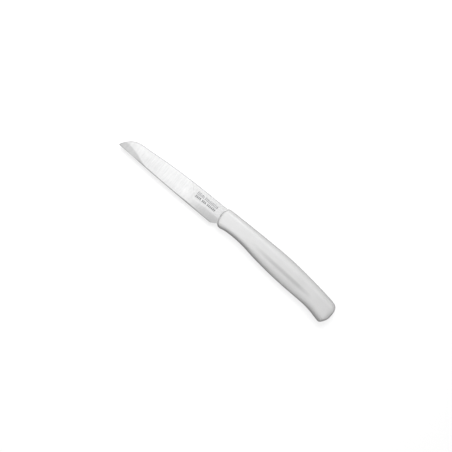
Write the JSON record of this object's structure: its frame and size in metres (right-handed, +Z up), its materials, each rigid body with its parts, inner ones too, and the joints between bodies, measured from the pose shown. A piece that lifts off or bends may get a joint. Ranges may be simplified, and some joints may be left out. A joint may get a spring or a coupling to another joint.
{
  "type": "paring knife",
  "caption": "Small kitchen paring knife: a straight-edged stamped steel blade moulded into a smooth white plastic handle with a hooked butt.",
  "frame": {"origin": "middle of the knife's outline at the level of the surface that it lies on", "axes": "+X from the blade's tip to the handle's butt, +Y from the cutting edge to the spine, +Z up, out of the marked side of the blade"},
  "size_m": [0.1868, 0.0221, 0.0124],
  "materials": {
    "blade_steel": "satin ground stainless steel, fine grinding lines across the blade, etched mark",
    "handle_plastic": "off-white moulded polypropylene, satin with a fine mould texture"
  },
  "bodies": {
    "root": {"blade": "blade_steel", "handle": "handle_plastic"}
  },
  "joints": []
}
